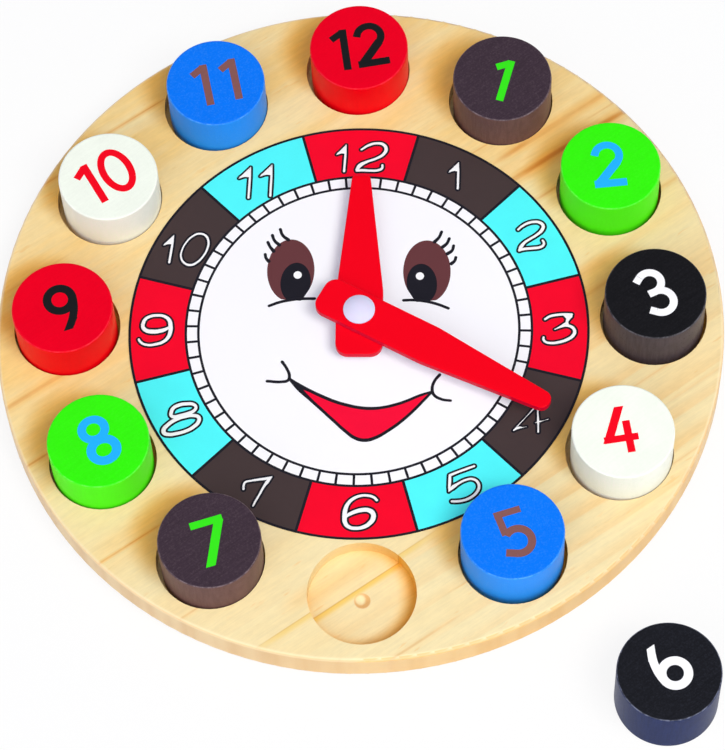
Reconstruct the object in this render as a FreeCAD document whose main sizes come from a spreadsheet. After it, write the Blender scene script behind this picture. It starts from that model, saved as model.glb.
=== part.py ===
"""Teaching clock: a round pine board with twelve loose number pegs and two hands on a snap rivet.

Frame: the origin is the centre of the board's underside, +Z is up and +Y points at twelve o'clock.
All sizes are in millimetres.
"""
import FreeCAD
import Part
import Sketcher
import os

from FreeCAD import Vector

HOURS = 12
HOUR_ANGLE = 360 // HOURS
LOOSE_HOUR = 6

# Driving dimensions, as (alias, value, what it is).
SIZES = [
    ("board_diameter", 300.0, "across the round board"),
    ("board_thickness", 15.0, "board"),
    ("board_edge_round", 1.5, "rounding of both rims of the board"),
    ("pocket_inset", 29.0, "edge of the board to the middle of each pocket"),
    ("pocket_diameter", 44.0, "blind pocket for a peg"),
    ("pocket_depth", 8.0, "blind pocket for a peg"),
    ("spur_mark_diameter", 6.4, "cone that the cutter's spur leaves in a pocket's floor"),
    ("spur_mark_depth", 1.6, "cone that the cutter's spur leaves in a pocket's floor"),
    ("peg_height", 28.0, "number peg"),
    ("peg_clearance", 1.3, "peg to pocket wall, all round"),
    ("peg_edge_round", 0.8, "rounding of both ends of a peg"),
    ("loose_peg_gap", 30.5, "edge of the board to the peg that is out of its pocket"),
    ("loose_peg_angle", 143.4, "clockwise from twelve, degrees"),
    ("dial_gap", 4.0, "edge of the printed sheet to the pockets, were it glued on centre"),
    ("dial_thickness", 0.3, "printed sheet"),
    ("dial_offset_x", -0.5, "the sheet is glued a little off the pivot"),
    ("dial_offset_y", -2.8, "the sheet is glued a little off the pivot"),
    ("hub_rise", 5.0, "sleeve above the printed sheet, which carries the hands"),
    ("sleeve_diameter", 9.0, "outside of the rivet's sleeve"),
    ("sleeve_clearance", 0.15, "sleeve to the hole in board and sheet, all round"),
    ("flange_diameter", 22.0, "rear flange of the sleeve"),
    ("flange_thickness", 2.0, "rear flange of the sleeve"),
    ("flange_clearance", 0.5, "flange to its recess, all round"),
    ("flange_inset", 0.6, "flange's back face above the board's underside"),
    ("pin_diameter", 5.0, "shank of the rivet's pin"),
    ("pin_reach", 16.0, "how far the shank goes into the sleeve"),
    ("pin_head_diameter", 13.0, "head of the rivet's pin"),
    ("pin_head_rim", 0.6, "straight rim under the dome of the head"),
    ("pin_head_dome", 2.4, "rise of the dome above the rim"),
    ("hand_bore_clearance", 0.08, "hand to shank, all round"),
    ("hand_gap", 0.15, "play above and below each hand"),
    ("hand_thickness", 3.0, "both hands"),
    ("hand_edge_round", 0.5, "rounding of a hand's top edges"),
    ("hour_hand_reach", 65.0, "pivot to tip"),
    ("hour_hand_tail", 18.6, "pivot to tail"),
    ("hour_hand_width", 19.4, "from the tail to the shoulder"),
    ("hour_hand_shoulder", 11.0, "pivot to where the taper starts"),
    ("hour_hand_tip_width", 7.6, "at the tip"),
    ("hour_hand_tip_round", 1.6, "corners of the tip"),
    ("minute_hand_reach", 88.4, "pivot to tip"),
    ("minute_hand_tail", 18.0, "pivot to tail"),
    ("minute_hand_width", 17.2, "from the tail to the shoulder"),
    ("minute_hand_shoulder", 33.0, "pivot to where the taper starts"),
    ("minute_hand_tip_width", 7.6, "at the tip"),
    ("minute_hand_tip_round", 3.8, "corners of the tip"),
    ("hand_tail_round", 5.2, "corners of both tails"),
    ("hour_hand_angle", 1.1, "clockwise from twelve, degrees"),
    ("minute_hand_angle", 119.7, "clockwise from twelve, degrees"),
]

# Places and heights that several pieces share.
SHARED = [
    ("pocket_circle_radius", "=board_diameter / 2 - pocket_inset"),
    ("dial_radius", "=pocket_circle_radius - pocket_diameter / 2 - dial_gap"),
    ("peg_radius", "=pocket_diameter / 2 - peg_clearance"),
    ("loose_peg_distance", "=board_diameter / 2 + loose_peg_gap + peg_radius"),
    ("pocket_floor", "=board_thickness - pocket_depth"),
    ("dial_top", "=board_thickness + dial_thickness"),
    ("sleeve_top", "=dial_top + hub_rise"),
    ("hour_hand_base", "=sleeve_top + hand_gap"),
    ("minute_hand_base", "=hour_hand_base + hand_thickness + hand_gap"),
    ("pin_head_base", "=minute_hand_base + hand_thickness + hand_gap"),
    ("pin_tip", "=sleeve_top - pin_reach"),
    ("dome_radius", "=((pin_head_diameter / 2) ^ 2 + pin_head_dome ^ 2) / (2 * pin_head_dome)"),
]

# How each peg has settled in its pocket, in shares of the clearance.
PEG_SETTLE = {
    1: (0.45, -0.60),
    2: (0.15, 0.30),
    3: (0.10, 0.70),
    4: (0.60, -0.40),
    5: (-0.15, 0.70),
    7: (0.55, -0.50),
    8: (-0.10, -0.45),
    9: (-0.15, -0.50),
    10: (0.70, -0.10),
    11: (0.70, -0.15),
    12: (0.65, -0.35),
}

TOLERANCE = 1e-4


def make_sizes(doc):
    """Fill the sheet with the driving dimensions and the places worked out from them."""
    sheet = doc.addObject("Spreadsheet::Sheet", "Sizes")
    for row, (alias, value, note) in enumerate(SIZES, start=1):
        sheet.set(f"A{row}", alias)
        sheet.set(f"B{row}", str(value))
        sheet.set(f"C{row}", note)
        sheet.setAlias(f"B{row}", alias)
    for row, (alias, formula) in enumerate(SHARED, start=len(SIZES) + 1):
        sheet.set(f"A{row}", alias)
        sheet.set(f"B{row}", formula)
        sheet.setAlias(f"B{row}", alias)
    doc.recompute()
    return sheet


def bind(thing, **expressions):
    """Bind properties to the sheet; a double underscore in a keyword stands for a dot."""
    for name, expression in expressions.items():
        thing.setExpression(name.replace("__", "."), expression)


# ---------------------------------------------------------------- sketches and features


def new_body(doc, label):
    body = doc.addObject("PartDesign::Body", label)
    body.Label = label
    return body


def new_sketch(body, name, role, level=None):
    """An empty sketch on one of the body's own origin planes, raised to a level."""
    plane = next(item for item in body.Origin.OriginFeatures if item.Role == role)
    sketch = body.newObject("Sketcher::SketchObject", name)
    sketch.AttachmentSupport = [(plane, "")]
    sketch.MapMode = "FlatFace"
    if level:
        bind(sketch, AttachmentOffset__Base__z=level)
    return sketch


def constrain(sketch, name, kind, *where):
    """Add a named dimension to the sketch and bind it to an expression, the last of where."""
    *ends, expression = where
    index = sketch.addConstraint(Sketcher.Constraint(kind, *ends, 1.0))
    sketch.renameConstraint(index, name)
    sketch.setExpression(f"Constraints.{name}", expression)


def add_circle(sketch, name, radius, centre=None):
    """A circle about the sketch's origin, or about a centre given as two expressions."""
    edge = sketch.addGeometry(Part.Circle(Vector(0, 0, 0), Vector(0, 0, 1), 1.0), False)
    if centre:
        constrain(sketch, f"{name}_x", "DistanceX", -1, 1, edge, 3, centre[0])
        constrain(sketch, f"{name}_y", "DistanceY", -1, 1, edge, 3, centre[1])
    else:
        sketch.addConstraint(Sketcher.Constraint("Coincident", edge, 3, -1, 1))
    constrain(sketch, f"{name}_radius", "Radius", edge, radius)


def add_polygon(sketch, name, corners, values):
    """Draw a closed outline in an empty sketch, with its corners bound to pairs of expressions."""
    points = [Vector(x, y, 0) for x, y in values]
    after = points[1:] + points[:1]
    for start, end in zip(points, after):
        sketch.addGeometry(Part.LineSegment(start, end), False)
    for i, (x, y) in enumerate(corners):
        sketch.addConstraint(Sketcher.Constraint("Coincident", i, 2, (i + 1) % len(points), 1))
        constrain(sketch, f"{name}_x{i}", "DistanceX", -1, 1, i, 1, x)
        constrain(sketch, f"{name}_y{i}", "DistanceY", -1, 1, i, 1, y)


def pad(body, sketch, length):
    feature = body.newObject("PartDesign::Pad", sketch.Name + "_pad")
    feature.Profile = sketch
    bind(feature, Length=length)
    sketch.Document.recompute()
    return feature


def cut(body, sketch, depth, reverse=False):
    """Pocket the body and make sure that it removed something."""
    before = body.Shape.Volume
    feature = body.newObject("PartDesign::Pocket", sketch.Name + "_pocket")
    feature.Profile = sketch
    feature.Reversed = reverse
    bind(feature, Length=depth)
    sketch.Document.recompute()
    check_removed(body, before)
    return feature


def check_removed(body, before):
    if body.Shape.Volume > before - TOLERANCE:
        raise RuntimeError(f"a cut in {body.Label} removed nothing")


def round_edges(body, name, radius, chosen):
    """Fillet those edges of the body that the test picks."""
    base = body.Tip
    names = [f"Edge{i}" for i, edge in enumerate(base.Shape.Edges, start=1) if chosen(edge)]
    if not names:
        raise RuntimeError(f"no edges for {name}")
    feature = body.newObject("PartDesign::Fillet", name)
    feature.Base = (base, names)
    bind(feature, Radius=radius)
    body.Document.recompute()
    return feature


def lies_flat(edge, level):
    box = edge.BoundBox
    return abs(box.ZMin - level) < TOLERANCE and abs(box.ZMax - level) < TOLERANCE


def stands(edge):
    """True for a straight edge along Z."""
    box = edge.BoundBox
    return box.ZLength > TOLERANCE and box.XLength < TOLERANCE and box.YLength < TOLERANCE


def ring_radius(edge):
    return edge.Curve.Radius if isinstance(edge.Curve, Part.Circle) else 0.0


# ---------------------------------------------------------------- board and dial


def make_board(doc, sizes):
    """The turned pine board, with its pockets, spur marks, pivot hole and rear recess."""
    body = new_body(doc, "board")
    disc = new_sketch(body, "board_outline", "XY_Plane")
    add_circle(disc, "board", "Sizes.board_diameter / 2")
    pad(body, disc, "Sizes.board_thickness")
    round_edges(body, "board_rims", "Sizes.board_edge_round", ring_radius)

    pocket = new_sketch(body, "pocket_outline", "XY_Plane", "Sizes.board_thickness")
    add_circle(pocket, "pocket", "Sizes.pocket_diameter / 2", ("0", "Sizes.pocket_circle_radius"))
    pocket_cut = cut(body, pocket, "Sizes.pocket_depth")
    mark_cut = cut_spur_mark(body, sizes)
    repeat_around(body, [pocket_cut, mark_cut])

    hole = new_sketch(body, "pivot_hole", "XY_Plane", "Sizes.board_thickness")
    add_circle(hole, "pivot_hole", "Sizes.sleeve_diameter / 2 + Sizes.sleeve_clearance")
    cut(body, hole, "Sizes.board_thickness")

    recess = new_sketch(body, "flange_recess", "XY_Plane")
    add_circle(recess, "flange_recess", "Sizes.flange_diameter / 2 + Sizes.flange_clearance")
    cut(body, recess, "Sizes.flange_inset + Sizes.flange_thickness", reverse=True)
    return body


def cut_spur_mark(body, sizes):
    """The cone under the middle of the twelve o'clock pocket, turned about the pocket's axis."""
    middle, floor = sizes.pocket_circle_radius, sizes.pocket_floor
    radius, depth = sizes.spur_mark_diameter / 2, sizes.spur_mark_depth
    before = body.Shape.Volume
    sketch = new_sketch(body, "spur_mark", "YZ_Plane")
    corners = [
        ("Sizes.pocket_circle_radius", "Sizes.pocket_floor - Sizes.spur_mark_depth"),
        ("Sizes.pocket_circle_radius + Sizes.spur_mark_diameter / 2", "Sizes.pocket_floor"),
        ("Sizes.pocket_circle_radius", "Sizes.pocket_floor"),
    ]
    values = [(middle, floor - depth), (middle + radius, floor), (middle, floor)]
    add_polygon(sketch, "mark", corners, values)
    line = Part.LineSegment(Vector(middle, floor, 0), Vector(middle, floor - depth, 0))
    axis = sketch.addGeometry(line, True)
    sketch.addConstraint(Sketcher.Constraint("Coincident", axis, 1, 2, 1))
    sketch.addConstraint(Sketcher.Constraint("Coincident", axis, 2, 0, 1))
    groove = body.newObject("PartDesign::Groove", "spur_mark_groove")
    groove.Profile = sketch
    groove.ReferenceAxis = (sketch, ["Axis0"])
    groove.Angle = 360.0
    body.Document.recompute()
    check_removed(body, before)
    return groove


def repeat_around(body, features):
    """Repeat the features once for every hour about the board's axis."""
    axis = next(item for item in body.Origin.OriginFeatures if item.Role == "Z_Axis")
    pattern = body.newObject("PartDesign::PolarPattern", "hour_pattern")
    pattern.Originals = features
    pattern.Axis = (axis, [""])
    pattern.Angle = 360.0
    pattern.Occurrences = HOURS
    before = body.Shape.Volume
    body.Tip = pattern
    body.Document.recompute()
    check_removed(body, before)


def make_dial_sheet(doc):
    """The thin printed sheet, with the pivot's hole on the board's axis."""
    body = new_body(doc, "dial_sheet")
    outline = new_sketch(body, "dial_outline", "XY_Plane", "Sizes.board_thickness")
    add_circle(outline, "dial", "Sizes.dial_radius", ("Sizes.dial_offset_x", "Sizes.dial_offset_y"))
    add_circle(outline, "dial_hole", "Sizes.sleeve_diameter / 2 + Sizes.sleeve_clearance")
    pad(body, outline, "Sizes.dial_thickness")
    return body


# ---------------------------------------------------------------- pegs


def make_peg(doc, hour):
    """One number peg, standing in its pocket, or on the table if it is the loose one."""
    body = new_body(doc, f"peg_{hour}")
    outline = new_sketch(body, f"peg_{hour}_outline", "XY_Plane")
    add_circle(outline, "peg", "Sizes.peg_radius")
    pad(body, outline, "Sizes.peg_height")
    round_edges(body, f"peg_{hour}_ends", "Sizes.peg_edge_round", ring_radius)
    if hour == LOOSE_HOUR:
        bind(
            body,
            Placement__Base__x="Sizes.loose_peg_distance * sin(Sizes.loose_peg_angle * 1 deg)",
            Placement__Base__y="Sizes.loose_peg_distance * cos(Sizes.loose_peg_angle * 1 deg)",
        )
        return body
    angle = hour * HOUR_ANGLE
    across, along = PEG_SETTLE[hour]
    bind(
        body,
        Placement__Base__x=f"Sizes.pocket_circle_radius * sin({angle} deg) + {across} * Sizes.peg_clearance",
        Placement__Base__y=f"Sizes.pocket_circle_radius * cos({angle} deg) + {along} * Sizes.peg_clearance",
        Placement__Base__z="Sizes.pocket_floor",
    )
    return body


# ---------------------------------------------------------------- hands


def make_hand(doc, sizes, kind):
    """A flat moulded hand that tapers from its shoulder to its tip, drawn pointing at +Y."""
    body = new_body(doc, f"{kind}_hand")
    measures = ("reach", "tail", "width", "shoulder", "tip_width")
    size = {part: getattr(sizes, f"{kind}_hand_{part}") for part in measures}
    half, tip_half = size["width"] / 2, size["tip_width"] / 2
    row = f"Sizes.{kind}_hand_"
    wide, narrow = f"{row}width / 2", f"{row}tip_width / 2"
    corners = [
        (f"-{wide}", f"-{row}tail"),
        (wide, f"-{row}tail"),
        (wide, f"{row}shoulder"),
        (narrow, f"{row}reach"),
        (f"-{narrow}", f"{row}reach"),
        (f"-{wide}", f"{row}shoulder"),
    ]
    values = [
        (-half, -size["tail"]),
        (half, -size["tail"]),
        (half, size["shoulder"]),
        (tip_half, size["reach"]),
        (-tip_half, size["reach"]),
        (-half, size["shoulder"]),
    ]
    outline = new_sketch(body, f"{kind}_hand_outline", "XY_Plane")
    add_polygon(outline, "edge", corners, values)
    pad(body, outline, "Sizes.hand_thickness")
    round_edges(body, f"{kind}_hand_tip", f"{row}tip_round", corner_test(size["reach"]))
    round_edges(body, f"{kind}_hand_tail", "Sizes.hand_tail_round", corner_test(-size["tail"]))
    top = sizes.hand_thickness
    round_edges(body, f"{kind}_hand_edges", "Sizes.hand_edge_round", lambda edge: lies_flat(edge, top))
    bore = new_sketch(body, f"{kind}_hand_bore", "XY_Plane", "Sizes.hand_thickness")
    add_circle(bore, "bore", "Sizes.pin_diameter / 2 + Sizes.hand_bore_clearance")
    cut(body, bore, "Sizes.hand_thickness")
    body.Placement.Rotation = FreeCAD.Rotation(Vector(0, 0, -1), 0)
    bind(
        body,
        Placement__Base__z=f"Sizes.{kind}_hand_base",
        Placement__Rotation__Angle=f"Sizes.{kind}_hand_angle * 1 deg",
    )
    return body


def corner_test(reach):
    """Pick the standing edges at one end of a hand."""
    return lambda edge: stands(edge) and abs(edge.BoundBox.YMin - reach) < TOLERANCE


# ---------------------------------------------------------------- rivet


def cylinder(doc, name, radius, height, base):
    item = doc.addObject("Part::Cylinder", name)
    bind(item, Radius=radius, Height=height, Placement__Base__z=base)
    return item


def make_pivot_sleeve(doc):
    """The rivet's rear half: a flange in the board's recess and a tube that carries the hands."""
    back = "Sizes.flange_inset"
    flange = cylinder(doc, "sleeve_flange", "Sizes.flange_diameter / 2", "Sizes.flange_thickness", back)
    tube = cylinder(doc, "sleeve_tube", "Sizes.sleeve_diameter / 2", f"Sizes.sleeve_top - {back}", back)
    outside = doc.addObject("Part::Fuse", "sleeve_outside")
    outside.Base, outside.Tool = flange, tube
    bore = cylinder(doc, "sleeve_bore", "Sizes.pin_diameter / 2", "Sizes.pin_reach", "Sizes.pin_tip")
    sleeve = doc.addObject("Part::Cut", "pivot_sleeve")
    sleeve.Base, sleeve.Tool = outside, bore
    sleeve.Label = "pivot_sleeve"
    return sleeve


def make_pivot_pin(doc):
    """The rivet's front half: a shank pressed into the sleeve and a domed head over the hands."""
    tip, head = "Sizes.pin_tip", "Sizes.pin_head_base"
    shank = cylinder(doc, "pin_shank", "Sizes.pin_diameter / 2", f"{head} - {tip}", tip)
    rim = cylinder(doc, "pin_rim", "Sizes.pin_head_diameter / 2", "Sizes.pin_head_rim", head)
    dome = doc.addObject("Part::Sphere", "pin_dome")
    bind(
        dome,
        Radius="Sizes.dome_radius",
        Angle1="asin(1 - Sizes.pin_head_dome / Sizes.dome_radius)",
        Placement__Base__z=f"{head} + Sizes.pin_head_rim + Sizes.pin_head_dome - Sizes.dome_radius",
    )
    pin = doc.addObject("Part::MultiFuse", "pivot_pin")
    pin.Shapes = [shank, rim, dome]
    pin.Label = "pivot_pin"
    return pin


# ---------------------------------------------------------------- the whole clock


def check(doc, pieces):
    """Stop if any object failed, or if a piece isn't one sound solid."""
    for item in doc.Objects:
        if "Invalid" in item.State or "Error" in item.State:
            raise RuntimeError(f"{item.Name}: {item.State}")
    for piece in pieces:
        shape = piece.Shape
        if shape.isNull() or not shape.isValid() or len(shape.Solids) != 1:
            raise RuntimeError(f"{piece.Label} isn't one valid solid")


def main():
    doc = FreeCAD.newDocument("teaching_clock")
    sizes = make_sizes(doc)
    pieces = [make_board(doc, sizes), make_dial_sheet(doc)]
    pieces += [make_peg(doc, hour) for hour in range(1, HOURS + 1)]
    pieces += [make_hand(doc, sizes, kind) for kind in ("hour", "minute")]
    pieces += [make_pivot_sleeve(doc), make_pivot_pin(doc)]
    doc.recompute()
    check(doc, pieces)
    os.makedirs("parts", exist_ok=True)
    for piece in pieces:
        piece.Shape.exportStep(f"parts/{piece.Label}.step")
        box = piece.Shape.BoundBox
        print(f"{piece.Label}: {piece.Shape.Volume:.0f} mm3, z {box.ZMin:.2f} to {box.ZMax:.2f}")


main()
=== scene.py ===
"""Looks of the wooden teaching clock: pine, print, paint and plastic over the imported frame."""
import functools
import logging
import math
from dataclasses import dataclass, field
from enum import Enum

import bmesh
import bpy
from mathutils import Matrix, Vector


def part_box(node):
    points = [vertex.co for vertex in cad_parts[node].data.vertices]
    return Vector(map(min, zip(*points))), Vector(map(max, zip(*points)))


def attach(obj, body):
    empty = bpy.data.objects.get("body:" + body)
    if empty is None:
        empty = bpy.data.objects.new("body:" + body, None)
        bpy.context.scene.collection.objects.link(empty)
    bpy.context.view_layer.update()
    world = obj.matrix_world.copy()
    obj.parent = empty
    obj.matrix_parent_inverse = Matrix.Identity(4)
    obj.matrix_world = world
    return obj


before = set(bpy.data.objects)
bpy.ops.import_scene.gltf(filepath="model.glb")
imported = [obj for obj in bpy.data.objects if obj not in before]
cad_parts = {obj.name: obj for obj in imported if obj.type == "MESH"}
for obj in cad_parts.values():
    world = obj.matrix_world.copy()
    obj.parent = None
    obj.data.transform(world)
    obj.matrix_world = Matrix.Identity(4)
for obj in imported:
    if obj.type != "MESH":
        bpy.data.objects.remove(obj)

Colour = tuple[float, float, float]
Point = tuple[float, float]
Dab = tuple[float, float, float]
Stroke = list[Dab]
Mesh = bmesh.types.BMesh
Vert = bmesh.types.BMVert
Edge = bmesh.types.BMEdge
Material = bpy.types.Material
Node = bpy.types.Node
Socket = bpy.types.NodeSocket
Tree = bpy.types.NodeTree
Sockets = bpy.types.bpy_prop_collection

LOG = logging.getLogger("teaching_clock")
MM = 0.001
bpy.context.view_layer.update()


def linear(colour: Colour) -> tuple[float, float, float, float]:
    """An sRGB colour from 0 to 255 as linear light with full alpha."""
    parts = [c / 255.0 for c in colour]
    return (*[p / 12.92 if p <= 0.04045 else ((p + 0.055) / 1.055) ** 2.4 for p in parts], 1.0)


def as_light(colour: Socket | Colour) -> Socket | tuple:
    """A socket as it is, or an sRGB colour as linear light."""
    return linear(colour) if isinstance(colour, tuple) else colour


class Graph:
    """Adds and joins the nodes of one material or group."""

    def __init__(self, tree: Tree) -> None:
        """Takes the tree that the nodes go into."""
        self.tree = tree

    def add(self, kind: str, inputs: dict | None = None, **settings: object) -> Node:
        """Adds a node.

        Args:
            kind: The node's type, without ShaderNode.
            inputs: Values or sockets for the node's inputs, by name or number.
            settings: Properties to set on the node first.

        Returns:
            The new node.
        """
        node = self.tree.nodes.new(f"ShaderNode{kind}")
        for name, value in settings.items():
            setattr(node, name, value)
        self.fill(node.inputs, inputs or {})
        return node

    def fill(self, sockets: Sockets, values: dict) -> None:
        """Sets inputs or joins them to what feeds them.

        Args:
            sockets: A node's inputs.
            values: Values or sockets for them, by name or number.
        """
        for key, value in values.items():
            if isinstance(value, Socket):
                self.tree.links.new(value, sockets[key])
            else:
                sockets[key].default_value = value

    def math(self, operation: str, *values: object) -> Socket:
        """The result of a Math node on the values."""
        return self.add("Math", dict(enumerate(values)), operation=operation).outputs[0]

    def product(self, *values: object) -> Socket:
        """All the values multiplied."""
        return functools.reduce(functools.partial(self.math, "MULTIPLY"), values)

    def hypot(self, first: Socket, second: Socket) -> Socket:
        """How far away a place is, from its two distances."""
        squares = (self.math("MULTIPLY", value, value) for value in (first, second))
        return self.math("SQRT", self.math("ADD", *squares))

    def blend(self, factor: object, first: object, second: object, way: str = "MIX") -> Socket:
        """Two colours, each a socket or in sRGB, mixed by the factor."""
        inputs = {0: factor, 6: as_light(first), 7: as_light(second)}
        return self.add("Mix", inputs, data_type="RGBA", blend_type=way).outputs[2]

    def noise(self, vector: Socket, scale: object, detail: float = 2.0, rough: float = 0.5) -> Socket:
        """Soft noise from 0 to 1 over the vector."""
        inputs = {"Vector": vector, "Scale": scale, "Detail": detail, "Roughness": rough}
        return self.add("TexNoise", inputs).outputs[0]

    def ramp(self, value: Socket, low: float, high: float, out_low: float = 0.0,
             out_high: float = 1.0) -> Socket:
        """The value carried smoothly from low..high to out_low..out_high."""
        inputs = dict(enumerate((value, low, high, out_low, out_high)))
        return self.add("MapRange", inputs, interpolation_type="SMOOTHSTEP").outputs[0]

    def turned(self, vector: Socket, degrees: float) -> Socket:
        """The vector turned about Z."""
        inputs = {"Vector": vector, "Rotation": (0.0, 0.0, math.radians(degrees))}
        return self.add("Mapping", inputs).outputs[0]

    def stretch(self, vector: Socket, size: Colour) -> Socket:
        """The vector with each part scaled on its own."""
        return self.add("VectorMath", {0: vector, 1: size}, operation="MULTIPLY").outputs[0]

    def scaled(self, vector: Socket, gain: object) -> Socket:
        """The vector or colour with all its parts scaled alike."""
        return self.add("VectorMath", {0: vector, 3: gain}, operation="SCALE").outputs[0]

    def apart(self, vector: Socket) -> list[Socket]:
        """The vector's three parts."""
        return list(self.add("SeparateXYZ", {0: vector}).outputs)

    def coords(self, kind: str = "Object") -> Socket:
        """Coordinates of the surface."""
        return self.add("TexCoord").outputs[kind]

    def level(self) -> Socket:
        """How level the surface lies, from 0 on a wall to 1 on a top."""
        return self.math("ABSOLUTE", self.apart(self.coords("Normal"))[2])

    def muted(self, colour: Socket, cast: Colour, share: float) -> Socket:
        """The colour, giving way to the cast by a share where it only tints the pieces round it."""
        bounce = self.add("LightPath").outputs["Is Diffuse Ray"]
        return self.blend(self.product(bounce, share), colour, cast)


def new_material(name: str) -> tuple[Material, Graph, Node]:
    """An empty Principled material.

    Args:
        name: The material's name.

    Returns:
        The material, its graph and its shader node.
    """
    material = bpy.data.materials.new(name)
    material.use_nodes = True
    material.node_tree.nodes.clear()
    graph = Graph(material.node_tree)
    shader = graph.add("BsdfPrincipled")
    graph.add("OutputMaterial", {"Surface": shader.outputs[0]})
    return material, graph, shader


def new_group(name: str, inputs: tuple[str, ...], outputs: tuple[str, ...]) -> tuple[Graph, Sockets, Sockets]:
    """An empty node group, whose sockets are numbers but for Vector and Colour.

    Args:
        name: The group's name.
        inputs: What goes into it.
        outputs: What comes out.

    Returns:
        Its graph, the sockets that its inputs feed and those that feed its outputs.
    """
    tree = bpy.data.node_groups.new(name, "ShaderNodeTree")
    kinds = {"Vector": "Vector", "Colour": "Color"}
    for way, sockets in (("INPUT", inputs), ("OUTPUT", outputs)):
        for socket in sockets:
            kind = f"NodeSocket{kinds.get(socket, 'Float')}"
            tree.interface.new_socket(socket, in_out=way, socket_type=kind)
    given, made = (tree.nodes.new(f"NodeGroup{end}") for end in ("Input", "Output"))
    return Graph(tree), given.outputs, made.inputs


@functools.cache
def skin_group() -> Tree:
    """Cloudy tone, fine grain and uneven gloss of a coated, printed or moulded surface.

    Returns:
        The node group.
    """
    graph, given, made = new_group(
        "skin_variation", ("Vector", "Colour", "Tone Spread", "Clouds per m", "Grains per m", "Roughness",
                           "Gloss Spread"), ("Colour", "Roughness", "Height"))
    cloud = graph.noise(given["Vector"], given["Clouds per m"], 3.0)
    grain = graph.noise(given["Vector"], given["Grains per m"], 2.0, 0.6)
    both = graph.math("ADD", graph.product(cloud, 0.6), graph.product(grain, 0.4))
    lift = graph.product(graph.math("SUBTRACT", both, 0.5), given["Tone Spread"])
    shift = graph.product(graph.math("SUBTRACT", grain, 0.5), given["Gloss Spread"])
    graph.fill(made, {"Colour": graph.scaled(given["Colour"], graph.math("ADD", lift, 1.0)),
                      "Roughness": graph.math("ADD", given["Roughness"], shift), "Height": both})
    return graph.tree


@functools.cache
def streak_group() -> Tree:
    """One band of figure in the pine: a soft halo and a thin line in it, which fade along the grain.

    Returns:
        The node group.
    """
    graph, given, made = new_group(
        "pine_streak", ("Along", "Across", "Place Along", "Place Across", "Reach", "Width", "Strength"),
        ("Halo", "Line"))
    side, way = (graph.math("ABSOLUTE", graph.math("DIVIDE", graph.math(
        "SUBTRACT", given[name], given[f"Place {name}"]), given[size]))
        for name, size in (("Across", "Width"), ("Along", "Reach")))
    fade = graph.product(graph.ramp(way, 1.0, 0.5), given["Strength"])
    graph.fill(made, {name: graph.product(graph.ramp(side, edge, core), fade)
                      for name, edge, core in (("Halo", 1.0, 0.0), ("Line", 0.30, 0.04))})
    return graph.tree


@dataclass(frozen=True)
class Skin:
    """How uneven a surface is in tone, gloss and relief, its clouds and grains per metre, and its shine."""

    tone: float
    clouds: float
    grains: float
    gloss: float
    relief: float
    shine: float

    def lay(self, graph: Graph, shader: Node, colour: Socket | Colour, rough: float) -> Node:
        """Gives a shader its colour, roughness, shine and bump.

        Args:
            graph: The material's graph.
            shader: Its Principled node.
            colour: The colour that varies.
            rough: Middle roughness.

        Returns:
            The bump.
        """
        skin = graph.add("Group", {
            "Vector": graph.coords(), "Colour": as_light(colour), "Tone Spread": self.tone,
            "Clouds per m": self.clouds, "Grains per m": self.grains, "Roughness": rough,
            "Gloss Spread": self.gloss}, node_tree=skin_group()).outputs
        bump = graph.add("Bump", {"Strength": 0.5, "Distance": self.relief * MM, "Height": skin["Height"]})
        graph.fill(shader.inputs, {"Base Color": skin["Colour"], "Roughness": skin["Roughness"],
                                   "Normal": bump.outputs[0], "Specular IOR Level": self.shine})
        return bump


@dataclass(frozen=True)
class Streak:
    """A stretch of stronger figure in the pine, in millimetres along and across the grain."""

    along: float
    across: float
    reach: float
    width: float
    strength: float


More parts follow.
